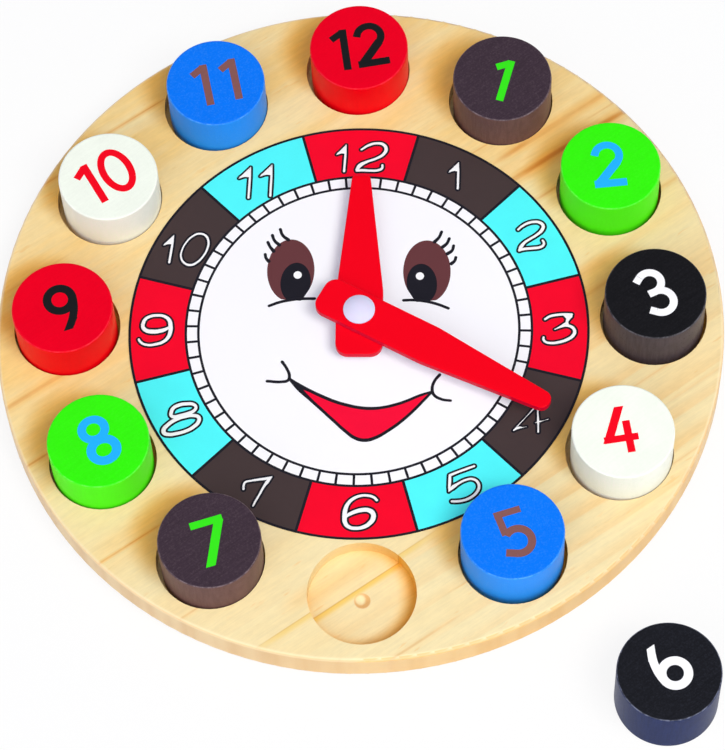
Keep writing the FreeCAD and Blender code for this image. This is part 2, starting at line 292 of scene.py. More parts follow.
@dataclass(frozen=True)
class PineFinish:
    """Clear satin lacquer over pale pine whose grain runs across the board, with sizes in millimetres."""

    grain_turn: float = -34.5
    pale: Colour = (248, 232, 183)
    warm: Colour = (250, 213, 137)
    amber: Colour = (243, 182, 86)
    rust: Colour = (216, 140, 54)
    seam: Colour = (208, 152, 74)
    band: Colour = (245, 208, 108)
    # The cutter's centre mark in each pocket floor: its own colour, laid as a crescent of painted shade on
    # its lower right.
    spur_mark_and_shade: Colour = (226, 148, 46)
    side: Colour = (240, 214, 168)
    side_dark: Colour = (228, 193, 144)
    # Painted highlight along the rim's rounded top edge.
    edge: Colour = (255, 237, 200)
    # Painted shadows of the pegs on the board, up and to the left of each peg.
    painted_peg_shadow: Colour = (251, 214, 120)
    # Painted shade inside the pockets, darkest towards their lower right.
    pool: Colour = (249, 205, 108)
    pith: Point = (-30.0, -85.0)
    ring_pitch: float = 7.4
    widest_line: float = 6.0
    joint_across: float = -94.6
    joint_along: Point = (-72.0, 52.0)
    pocket_circle: float = 121.0
    # How far up and to the left of each pocket's middle its painted shade is measured from.
    pocket_shade_shift: Point = (-3.3, 2.3)
    # How far up and to the left of a pocket the middle of its peg's painted shadow lies.
    peg_shadow_shift: Point = (-11.0, 11.0)
    # Where the pale middle of that crescent of painted shade sits, from the pocket's middle.
    spur_shade_shift: Point = (-0.8, 0.7)
    shine: float = 0.30
    streaks: tuple[Streak, ...] = (
        Streak(120, 17.4, 40, 5.9, 1.0), Streak(122, 29.0, 38, 5.9, 0.72), Streak(146, 23, 16, 2.0, 0.26),
        Streak(112, 22.0, 42, 7.5, 0.34), Streak(96, 38.5, 18, 2.0, 0.30), Streak(110, 4, 22, 2.6, 0.42),
        Streak(144, -21, 12, 2.4, 0.40), Streak(96, -43.5, 22, 3.0, 0.30), Streak(86, -89, 18, 1.8, 0.22),
        Streak(96, -103, 18, 2.2, 0.20), Streak(70, -126, 22, 2.0, 0.18), Streak(-122, 52, 28, 4.6, 0.50),
        Streak(-146, 25.5, 12, 2.4, 0.62), Streak(-146, 15, 11, 7.0, 0.46),
        Streak(-136, -28.5, 26, 1.6, 0.70), Streak(-118, -24, 34, 8.0, 0.28),
        Streak(-120, -67, 28, 2.0, 0.28), Streak(-75, -87.5, 28, 6.4, 0.36), Streak(-24, 136, 22, 1.8, 0.60),
        Streak(-72, 131, 12, 2.6, 0.46), Streak(-98, 97, 20, 2.2, 0.26), Streak(-124, 86, 14, 6.5, 0.42),
        Streak(-60, -130, 24, 2.4, 0.28),
    )


class PineWood:
    """Works the board's pine out, effect by effect, from places in mm along the grain, across it and up."""

    def __init__(self, finish: PineFinish) -> None:
        """Starts with bare wood.

        Args:
            finish: Its colours and sizes.
        """
        self.finish, self.colour = finish, finish.pale
        self.made, self.graph, self.shader = new_material("lacquered_pine")
        place = self.graph.coords()
        self.vector = self.graph.turned(place, finish.grain_turn)
        self.right, self.front, self.height = self.graph.apart(self.graph.scaled(place, 1 / MM))
        self.along, self.across, _ = self.graph.apart(self.graph.scaled(self.vector, 1 / MM))
        self.sway = self.graph.math("SUBTRACT", self.fibres(6.0, 16.0), 0.5)

    def fibres(self, along: float, across: float, detail: float = 2.0, rough: float = 0.5) -> Socket:
        """Noise drawn out along the grain, by its frequencies per metre."""
        return self.graph.noise(self.graph.stretch(self.vector, (along, across, across)), 1.0, detail, rough)

    def wash(self, mask: Socket, over: Socket | Colour, way: str = "MIX") -> None:
        """Lays a colour over the wood as far as the mask says."""
        self.colour = self.graph.blend(mask, self.colour, over, way)

    def material(self) -> Material:
        """Lays the figure, rings, fibres, glue joint, painted shade and painted peg shadows round the
        pockets, and sawn side over the wood.

        Returns:
            The finished material.
        """
        graph, finish = self.graph, self.finish
        fibre, mottle = self.fibres(60.0, 1100.0, 3.0, 0.6), self.fibres(150.0, 330.0, 3.0, 0.65)
        halo, line = self.figure()
        line = graph.product(line, graph.ramp(self.fibres(34.0, 260.0, 3.0), 0.32, 0.60, 0.35, 1.0))
        self.wash(graph.product(graph.ramp(self.fibres(7.0, 40.0, 4.0, 0.6), 0.32, 0.72, 0.2, 0.9),
                                graph.ramp(self.across, -90.0, 110.0, 0.35, 1.4)), finish.warm)
        self.wash(graph.math("MAXIMUM", self.rings(), graph.product(halo, 0.85)), finish.amber)
        self.wash(graph.product(line, 0.9), finish.rust)
        self.wash(graph.ramp(self.fibres(90.0, 420.0), 0.66, 0.76, 0.0, 0.30), finish.amber)
        self.colour = graph.scaled(self.colour, graph.product(
            graph.ramp(fibre, 0.25, 0.75, 0.955, 1.025), graph.ramp(mottle, 0.3, 0.7, 0.97, 1.02)))
        self.joint()
        self.pockets()
        self.sawn_side()
        relief = graph.math("ADD", fibre, graph.product(line, -0.6))
        bump = graph.add("Bump", {"Strength": 0.45, "Distance": 0.04 * MM, "Height": relief})
        graph.fill(self.shader.inputs, {
            "Base Color": self.colour, "Roughness": graph.ramp(fibre, 0.2, 0.8, 0.38, 0.52),
            "Normal": bump.outputs[0], "Specular IOR Level": finish.shine})
        return self.made

    def figure(self) -> tuple[Socket, Socket]:
        """The stronger bands of the wood.

        Returns:
            The masks of the bands' halos and of their lines.
        """
        graph = self.graph
        bent = graph.math("MULTIPLY_ADD", self.sway, 4.0, self.across)
        halo, line = 0.0, 0.0
        for streak in self.finish.streaks:
            band = graph.add("Group", {
                "Along": self.along, "Across": bent, "Place Along": streak.along,
                "Place Across": streak.across, "Reach": streak.reach, "Width": streak.width,
                "Strength": streak.strength}, node_tree=streak_group()).outputs
            halo = graph.math("MAXIMUM", halo, band["Halo"])
            if streak.width < self.finish.widest_line:
                line = graph.math("MAXIMUM", line, band["Line"])
        return halo, line

    def rings(self) -> Socket:
        """Faint year rings, sharp on one side, that come and go over the board.

        Returns:
            The mask of their dark wood.
        """
        graph, finish = self.graph, self.finish
        bent = graph.math("MULTIPLY_ADD", self.sway, 16.0, self.across)
        aside, above = (graph.math("SUBTRACT", *pair) for pair in zip((bent, self.height), finish.pith))
        turns = graph.math("DIVIDE", graph.hypot(aside, above), finish.ring_pitch)
        phase = graph.math("FRACT", graph.math("ADD", turns, self.fibres(2.0, 55.0, 1.0)))
        region = graph.ramp(self.fibres(5.0, 18.0, 1.0), 0.36, 0.68)
        return graph.product(graph.ramp(phase, 0.30, 0.86), graph.ramp(phase, 1.0, 0.90),
                             graph.ramp(self.across, 70.0, -30.0, 0.25, 1.0),
                             graph.math("MULTIPLY_ADD", region, 0.30, 0.06))

    def joint(self) -> None:
        """Lays in the glue joint of two staves: a golden band and a fine seam, plain in one stretch."""
        graph, finish = self.graph, self.finish
        middle, reach = finish.joint_along
        offset = graph.math("SUBTRACT", self.across, finish.joint_across)
        way = graph.math("ABSOLUTE", graph.math("SUBTRACT", self.along, middle))
        deep = graph.ramp(self.height, 14.8, 14.0, 0.70, 1.0)
        plain = graph.product(graph.ramp(way, reach, reach * 0.55), deep)
        self.wash(graph.product(graph.ramp(offset, -3.4, -0.6), graph.ramp(offset, 0.3, -0.1), plain),
                  finish.band)
        seam = graph.ramp(graph.math("ABSOLUTE", offset), 0.45, 0.10)
        self.wash(graph.product(seam, plain, 0.45), finish.seam)

    def pockets(self) -> None:
        """Lays in painted shade inside the pockets, painted shadows of the pegs beside them, and the marks of
        the cutter's centre point, shown as crescents of painted shade.
        """
        graph, finish = self.graph, self.finish
        low = graph.ramp(self.height, 14.9, 14.3)
        # Painted shade inside each pocket, darker towards its lower right.
        away, _ = self.from_pocket(finish.pocket_shade_shift)
        self.wash(graph.product(graph.ramp(away, 16.5, 24.5), low), finish.pool, "MULTIPLY")
        # Painted shadows of the pegs on the board's face, up and to the left of every pocket that holds a
        # peg.
        away, hour = self.from_pocket(finish.peg_shadow_shift)
        filled = graph.math("LESS_THAN", graph.math("ABSOLUTE", hour), 5.5)
        self.wash(graph.product(graph.ramp(away, 26.0, 15.0, 0.0, 0.80), graph.ramp(self.height, 14.3, 14.9),
                                filled), finish.painted_peg_shadow, "MULTIPLY")
        # The cutter's centre mark, left pale round a middle set up and to the left, so that it shows as a
        # crescent of painted shade on its lower right.
        cone = graph.ramp(self.from_pocket((0.0, 0.0))[0], 3.6, 2.9)
        spur_shaded_side = graph.ramp(self.from_pocket(finish.spur_shade_shift)[0], 1.4, 2.7)
        self.wash(graph.product(cone, spur_shaded_side, low, 0.6), finish.spur_mark_and_shade)

    def from_pocket(self, drift: Point) -> tuple[Socket, Socket]:
        """How far a place is from the nearest pocket's middle.

        Args:
            drift: How far from the middle to measure.

        Returns:
            The distance, and the pocket's hour, from -6 to 6.
        """
        graph = self.graph
        pitch = math.radians(30.0)
        place = [graph.math("SUBTRACT", *pair) for pair in zip((self.right, self.front), drift)]
        hour = graph.math("ROUND", graph.math("DIVIDE", graph.math("ARCTAN2", *place), pitch))
        turn = graph.product(hour, pitch)
        offsets = (graph.math("MULTIPLY_ADD", graph.math(way, turn), -self.finish.pocket_circle, part)
                   for way, part in zip(("SINE", "COSINE"), place))
        return graph.hypot(*offsets), hour

    def sawn_side(self) -> None:
        """Lays in the board's side, paler than its face, with patches of end grain and a painted highlight
        along its top edge.
        """
        graph, finish = self.graph, self.finish
        facing = graph.apart(graph.turned(graph.coords("Normal"), finish.grain_turn))
        radius = graph.hypot(self.along, self.across)
        patch = graph.ramp(graph.noise(graph.stretch(self.vector, (95.0, 95.0, 6.0)), 1.0), 0.36, 0.72)
        ends = graph.ramp(graph.math("ABSOLUTE", facing[0]), 0.2, 1.0, 0.55, 0.90)
        wall = graph.ramp(graph.math("ABSOLUTE", facing[2]), 0.6, 0.2)
        self.wash(graph.product(wall, ends, graph.ramp(radius, 144.0, 146.5)),
                  graph.blend(patch, finish.side, finish.side_dark))
        # A painted highlight along the rim's rounded top edge.
        edge_highlight = graph.product(graph.ramp(radius, 148.3, 149.5), graph.ramp(self.height, 13.0, 14.2, 0.0, 0.5))
        self.wash(edge_highlight, finish.edge)


@dataclass(frozen=True)
class PegPaint:
    """Satin paint on a turned wooden peg, with painted light on its side and a painted highlight along its
    top edge.
    """

    name: str
    colour: Colour
    # side: the paint's colour on the turned side, with painted light and painted reflection in it.
    side: Colour
    # edge: the colour of the specks and of the painted highlight along the top edge.
    edge: Colour
    rough: float = 0.34
    specks: float = 0.10
    grain: float = 0.015
    cast: Colour = (196, 178, 160)
    cast_share: float = 0.65

    SKIN = Skin(tone=0.20, clouds=60.0, grains=1100.0, gloss=0.16, relief=0.02, shine=0.03)

    def material(self) -> Material:
        """Builds the paint, with specks, the wood's grain and turning marks under it, painted light on its
        side and a painted highlight along its edges.

        Returns:
            The material.
        """
        material, graph, shader = new_material(f"peg_paint_{self.name}")
        place, up = graph.coords(), graph.level()
        specks = graph.ramp(graph.noise(place, 1300.0, 2.0, 0.7), 0.45, 0.72, 0.0, self.specks)
        grain = graph.noise(graph.stretch(graph.turned(place, 52.0), (1500.0, 70.0, 110.0)), 1.0, 3.0, 0.65)
        # A painted highlight along the rounded top edge, broken by noise.
        edge_highlight = graph.product(graph.ramp(up, 0.25, 0.55), graph.ramp(up, 0.98, 0.80),
                             graph.ramp(graph.noise(place, 420.0, 3.0, 0.7), 0.40, 0.66, 0.20, 0.85))
        # Painted light on the side: the side takes its own lighter colour.
        colour = graph.blend(graph.ramp(up, 0.75, 0.30), self.colour, self.side)
        colour = graph.scaled(graph.blend(specks, colour, self.edge),
                              graph.ramp(grain, 0.30, 0.70, 1.0 - self.grain, 1.0 + self.grain))
        colour = graph.muted(graph.blend(edge_highlight, colour, self.edge), self.cast, self.cast_share)
        bump = self.SKIN.lay(graph, shader, colour, self.rough)
        rings = graph.add("TexWave", {"Vector": place, "Scale": 260.0, "Distortion": 2.0, "Detail": 2.0},
                          bands_direction="Z").outputs[1]
        marks = graph.add("Bump", {"Strength": 0.10, "Distance": 0.02 * MM, "Height": rings})
        graph.fill(bump.inputs, {"Normal": marks.outputs[0]})
        return material


@dataclass(frozen=True)
class Print:
    """A printed surface, slightly uneven in tone and gloss; ink unless its values say otherwise."""

    name: str
    colour: Colour
    rough: float = 0.36
    skin: Skin = Skin(tone=0.16, clouds=90.0, grains=2200.0, gloss=0.10, relief=0.006, shine=0.10)

    def material(self) -> Material:
        """Builds the print.

        Returns:
            The material.
        """
        material, graph, shader = new_material(self.name)
        self.skin.lay(graph, shader, self.colour, self.rough)
        return material


@dataclass(frozen=True)
class Moulding:
    """Smooth injection-moulded plastic, darker on its sides as painted shade, with light scattered under its
    skin.
    """

    name: str
    colour: Colour
    # side: the plastic's colour on its sides, darker as painted shade.
    side: Colour
    rough: float
    glow: float
    cast: Colour = (222, 218, 240)
    cast_share: float = 0.85
    depth: float = 1.2
    reach: tuple[float, ...] = (1.0, 0.35, 0.35)

    SKIN = Skin(tone=0.06, clouds=40.0, grains=1100.0, gloss=0.10, relief=0.010, shine=0.06)

    def material(self) -> Material:
        """Builds the plastic.

        Returns:
            The material.
        """
        material, graph, shader = new_material(self.name)
        # Painted shade on the sides: they take their own darker colour.
        colour = graph.blend(graph.ramp(graph.level(), 0.80, 0.30), self.colour, self.side)
        self.SKIN.lay(graph, shader, graph.muted(colour, self.cast, self.cast_share), self.rough)
        graph.fill(shader.inputs, {"Subsurface Weight": self.glow, "Subsurface Scale": self.depth * MM,
                                   "Subsurface Radius": self.reach})
        return material


def coat(node: str, material: Material) -> None:
    """Puts a material on a node of the frame.

    Args:
        node: The node's name.
        material: Its finish.
    """
    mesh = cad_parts[node].data
    mesh.materials.clear()
    mesh.materials.append(material)
    LOG.info("%s: %s", node, material.name)


def add_object(name: str, data: bpy.types.ID) -> bpy.types.Object:
    """Adds an object to the scene.

    Args:
        name: Its name.
        data: Its mesh, light or camera.

    Returns:
        The new object.
    """
    item = bpy.data.objects.new(name, data)
    bpy.context.scene.collection.objects.link(item)
    return item


def add_mesh(name: str, bm: Mesh, material: Material) -> bpy.types.Object:
    """Adds an object made from a mesh, which is used up.

    Args:
        name: The object's name.
        bm: The mesh, in metres.
        material: Its finish.

    Returns:
        The new object.
    """
    mesh = bpy.data.meshes.new(name)
    bm.to_mesh(mesh)
    bm.free()
    mesh.materials.append(material)
    return add_object(name, mesh)


def settle(bm: Mesh, verts: list[Vert], tilt: float, to: Point) -> None:
    """Turns points about the origin, in degrees anticlockwise, and then moves them."""
    bmesh.ops.rotate(bm, verts=verts, matrix=Matrix.Rotation(math.radians(tilt), 3, "Z"))
    bmesh.ops.translate(bm, verts=verts, vec=(*to, 0.0))


class Drawing:
    """Something drawn in millimetres that becomes one piece of the model."""

    JOIN = 1e-4
    smooth = False

    def __init__(self, name: str, base: float) -> None:
        """Starts an empty drawing; base is the height that it is laid on."""
        self.name, self.base = name, base
        self.bm = bmesh.new()

    def shape(self) -> None:
        """Finishes the mesh, where it isn't drawn as it goes along."""

    def piece(self, material: Material, body: str, slot: str, tilt: float = 0.0,
              to: Point = (0.0, 0.0)) -> None:
        """Makes the piece, in metres at the origin.

        Args:
            material: Its finish.
            body: The body of the frame that it rides on.
            slot: The name of a material slot; not used.
            tilt: Turn of the whole drawing in degrees anticlockwise.
            to: Where the drawing's origin goes.
        """
        self.shape()
        settle(self.bm, self.bm.verts, tilt, to)
        bmesh.ops.recalc_face_normals(self.bm, faces=self.bm.faces)
        bmesh.ops.scale(self.bm, vec=(MM, MM, MM), verts=self.bm.verts)
        piece = add_mesh(self.name, self.bm, material)
        faces = piece.data.polygons
        faces.foreach_set("use_smooth", [self.smooth] * len(faces))
        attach(piece, body)
        LOG.info("%s: %d faces on %s", piece.name, len(faces), body)


class Film(Drawing):
    """Flat closed pieces of ink on one height."""

    STEP = 0.004

    def __init__(self, name: str, base: float, thickness: float, levels: int = 5) -> None:
        """Starts an empty film.

        Args:
            name: The piece's name.
            base: Height of the surface that carries the ink.
            thickness: How far the ink stands proud of it.
            levels: How many height steps the strokes take in turn, so that crossing ones lie apart.
        """
        super().__init__(name, base)
        self.thickness, self.levels, self.layer = thickness, levels, 0
        self._known: set = set()

    def nib(self, first: Point, second: Point) -> Edge:
        """A loose edge that is dragged or turned into a stroke."""
        return self.bm.edges.new([self.bm.verts.new((*p, 0.0)) for p in (first, second)])

    def drag(self, edge: Edge, way: Point) -> None:
        """Drags the nib in a straight line."""
        made = bmesh.ops.extrude_edge_only(self.bm, edges=[edge])["geom"]
        bmesh.ops.translate(self.bm, verts=[v for v in made if isinstance(v, Vert)], vec=(*way, 0.0))

    def turn(self, edge: Edge, centre: Point, degrees: float, steps: int) -> None:
        """Turns the nib about a centre; a full turn closes on itself."""
        bmesh.ops.spin(self.bm, geom=[*edge.verts, edge], cent=(*centre, 0.0), axis=(0, 0, 1),
                       angle=math.radians(degrees), steps=steps, use_merge=abs(degrees) >= 360.0)

    @staticmethod
    def heading(degrees: float) -> Vector:
        """The direction at an angle anticlockwise from +X."""
        return Vector((math.cos(math.radians(degrees)), math.sin(math.radians(degrees))))

    def bar(self, start: Point, end: Point, width: float, cut: float | None = None) -> None:
        """A straight stroke.

        Args:
            start: Its first end.
            end: Its other end.
            width: Its width.
            cut: Angle of its ends from +X in degrees, where they aren't square.
        """
        way = Vector(end) - Vector(start)
        unit = way.normalized()
        slant = Vector((-unit.y, unit.x)) if cut is None else self.heading(cut)
        half = slant * width / 2 / abs(unit.cross(slant))
        self.drag(self.nib(tuple(Vector(start) + half), tuple(Vector(start) - half)), tuple(way))
        self.close()

    def arc(self, centre: Point, radius: float, start: float, end: float, width: float,
            steps: int = 24) -> None:
        """Part of a ring.

        Args:
            centre: The ring's middle.
            radius: Its middle radius.
            start: Where the stroke starts, in degrees from +X.
            end: Where it ends.
            width: Its width.
            steps: How many facets it has.
        """
        inner, outer = (tuple(Vector(centre) + self.heading(start) * (radius + side * width / 2))
                        for side in (-1, 1))
        self.turn(self.nib(inner, outer), centre, end - start, steps)
        self.close()

    def ring(self, centre: Point, inner: Point, outer: Point, steps: int = 72) -> None:
        """A closed ring between two ovals.

        Args:
            centre: Its middle.
            inner: Half the hole's width and height.
            outer: Half its own width and height.
            steps: How many facets it has.
        """
        self.turn(self.nib((0.5, 0.0), (1.0, 0.0)), (0.0, 0.0), 360.0, steps)
        fresh = self.fresh_verts()
        rim = [v for v in fresh if v.co.length > 0.75]
        eye = [v for v in fresh if v.co.length <= 0.75]
        bmesh.ops.scale(self.bm, verts=rim, vec=(*outer, 1.0))
        bmesh.ops.scale(self.bm, verts=eye, vec=(inner[0] * 2, inner[1] * 2, 1.0))
        bmesh.ops.translate(self.bm, verts=fresh, vec=(*centre, 0.0))
        self.close()

    def oval(self, centre: Point, size: Point, tilt: float = 0.0, cuts: tuple = ()) -> None:
        """A filled oval.

        Args:
            centre: Its middle.
            size: Its full width and height.
            tilt: Turn in degrees anticlockwise.
            cuts: Pairs of a point and an outward direction; what lies beyond is cut off.
        """
        bmesh.ops.create_circle(self.bm, cap_ends=True, segments=96, radius=0.5)
        fresh = self.fresh_verts()
        bmesh.ops.scale(self.bm, verts=fresh, vec=(*size, 1.0))
        settle(self.bm, fresh, tilt, centre)
        for point, outward in cuts:
            faces = self.fresh_faces()
            geom = list({*faces, *(e for f in faces for e in f.edges), *(v for f in faces for v in f.verts)})
            bmesh.ops.bisect_plane(self.bm, geom=geom, plane_co=(*point, 0.0), plane_no=(*outward, 0.0),
                                   clear_outer=True)
        self.close()

    def fresh_verts(self) -> list[Vert]:
        """The points drawn since the last stroke was closed."""
        return [v for v in self.bm.verts if v not in self._known]

    def fresh_faces(self) -> list[bmesh.types.BMFace]:
        """The faces drawn since the last stroke was closed."""
        return [f for f in self.bm.faces if f not in self._known]

    def close(self) -> None:
        """Gives the faces drawn last their thickness and their own height step."""
        top = bmesh.ops.extrude_face_region(self.bm, geom=self.fresh_faces())["geom"]
        rise = self.thickness + self.STEP * self.layer + self.STEP
        bmesh.ops.translate(self.bm, verts=[v for v in top if isinstance(v, Vert)], vec=(0.0, 0.0, rise))
        bmesh.ops.translate(self.bm, verts=self.fresh_verts(), vec=(0.0, 0.0, self.base - self.STEP))
        self.layer = (self.layer + 1) % self.levels
        self._known = {*self.bm.verts, *self.bm.faces}


def add_spline(curve: bpy.types.Curve, places: list, closed: bool) -> bpy.types.Spline:
    """Adds a smooth line to a curve.

    Args:
        curve: The curve.
        places: What the line runs through; the first two numbers of each count.
        closed: Whether it runs back to its start.

    Returns:
        The new line.
    """
    spline = curve.splines.new("BEZIER")
    spline.bezier_points.add(len(places) - 1)
    spline.use_cyclic_u = closed
    for point, place in zip(spline.bezier_points, places):
        point.co = (*place[:2], 0.0)
        point.handle_left_type = point.handle_right_type = "AUTO"
    return spline


def load_surface(curve: bpy.types.Curve, bm: Mesh) -> None:
    """Puts the surface of a curve into a mesh.

    Args:
        curve: The curve.
        bm: The mesh.
    """
    holder = bpy.data.objects.new(curve.name, curve)
    mesh = bpy.data.meshes.new_from_object(holder)
    bpy.data.objects.remove(holder)
    bm.from_mesh(mesh)
    bpy.data.meshes.remove(mesh)


class Brush(Drawing):
    """Round-ended strokes of ink whose width follows the hand, as low ridges on one height."""

    LOW = 0.05
    smooth = True

    def __init__(self, name: str, base: float) -> None:
        """Starts with no strokes.

        Args:
            name: The piece's name.
            base: Height of the ridges' middle.
        """
        super().__init__(name, base)
        self.curve = bpy.data.curves.new(name, "CURVE")
        for setting, value in (("dimensions", "3D"), ("twist_mode", "Z_UP"), ("bevel_depth", 1.0),
                               ("bevel_resolution", 3), ("resolution_u", 7), ("use_fill_caps", True)):
            setattr(self.curve, setting, value)
        self.ends: list[Dab] = []

    def stroke(self, dabs: Stroke, extra: float = 0.0) -> None:
        """Adds one stroke.

        Args:
            dabs: What it runs through, each a place and a half width.
            extra: How much wider than its dabs it is on each side.
        """
        closed = dabs[0] == dabs[-1]
        dabs = dabs[:-1] if closed else dabs
        spline = add_spline(self.curve, dabs, closed)
        spline.radius_interpolation = "CARDINAL"
        for point, (_, _, half) in zip(spline.bezier_points, dabs):
            point.radius = half + extra
        if not closed:
            self.ends += [(x, y, half + extra) for x, y, half in (dabs[0], dabs[-1])]

    def shape(self) -> None:
        """Makes the strokes ridges with round ends."""
        load_surface(self.curve, self.bm)
        for x, y, half in self.ends:
            bmesh.ops.create_uvsphere(self.bm, u_segments=20, v_segments=10, radius=half,
                                      matrix=Matrix.Translation((x, y, 0.0)))
        bmesh.ops.remove_doubles(self.bm, verts=self.bm.verts, dist=self.JOIN)
        bmesh.ops.scale(self.bm, verts=self.bm.verts, vec=(1.0, 1.0, self.LOW))
        bmesh.ops.translate(self.bm, verts=self.bm.verts, vec=(0.0, 0.0, self.base))


class Ink(Enum):
    """The inks of the dial and of the pegs' numerals."""

    RED = (249, 3, 42)
    BROWN = (70, 57, 57)
    CYAN = (84, 250, 253)
    BLACK = (31, 30, 38)
    WHITE = (252, 252, 253)
    IRIS = (104, 58, 61)
    LIPS = (249, 12, 56)
    STENCIL_BLACK = (24, 26, 28)
    STENCIL_GREEN = (55, 232, 28)
    STENCIL_BLUE = (35, 180, 253)
    STENCIL_WHITE = (250, 250, 253)
    STENCIL_RED = (247, 2, 30)
    STENCIL_TAN = (134, 88, 86)


INKS = {ink: Print(f"ink_{ink.name.lower()}", ink.value).material() for ink in Ink}


class PegColour(Enum):
    """A peg's paint and the ink of its numeral."""

    # Each paint lists its top colour, its side colour with painted light and reflection in it, its colour for
    # specks and the painted edge highlight, then roughness, specks and grain.
    RED = (PegPaint("red", (238, 0, 33), (252, 0, 20), (250, 56, 70), 0.34, 0.04), Ink.STENCIL_BLACK)
    BROWN = (PegPaint("brown", (63, 50, 60), (108, 79, 76), (136, 118, 122), 0.34, 0.10, 0.10),
             Ink.STENCIL_GREEN)
    GREEN = (PegPaint("green", (53, 246, 15), (82, 255, 24), (120, 250, 90), 0.34, 0.06), Ink.STENCIL_BLUE)
    BLACK = (PegPaint("black", (25, 25, 28), (80, 72, 78), (106, 104, 110), 0.30, 0.03, 0.12),
             Ink.STENCIL_WHITE)
    BLUE_BLACK = (PegPaint("blue_black", (28, 29, 34), (30, 43, 88), (128, 134, 158), 0.32, 0.03, 0.12),
                  Ink.STENCIL_WHITE)
    CREAM = (PegPaint("cream", (246, 252, 238), (250, 255, 244), (255, 255, 248), 0.38, 0.05),
             Ink.STENCIL_RED)
    BLUE = (PegPaint("blue", (10, 119, 246), (40, 148, 255), (90, 168, 250), 0.34, 0.16), Ink.STENCIL_TAN)


@dataclass
class Board:
    """The round pine board."""

    finish: PineFinish = PineFinish()

    def dress(self) -> None:
        """Gives the board its pine."""
        coat("board", PineWood(self.finish).material())


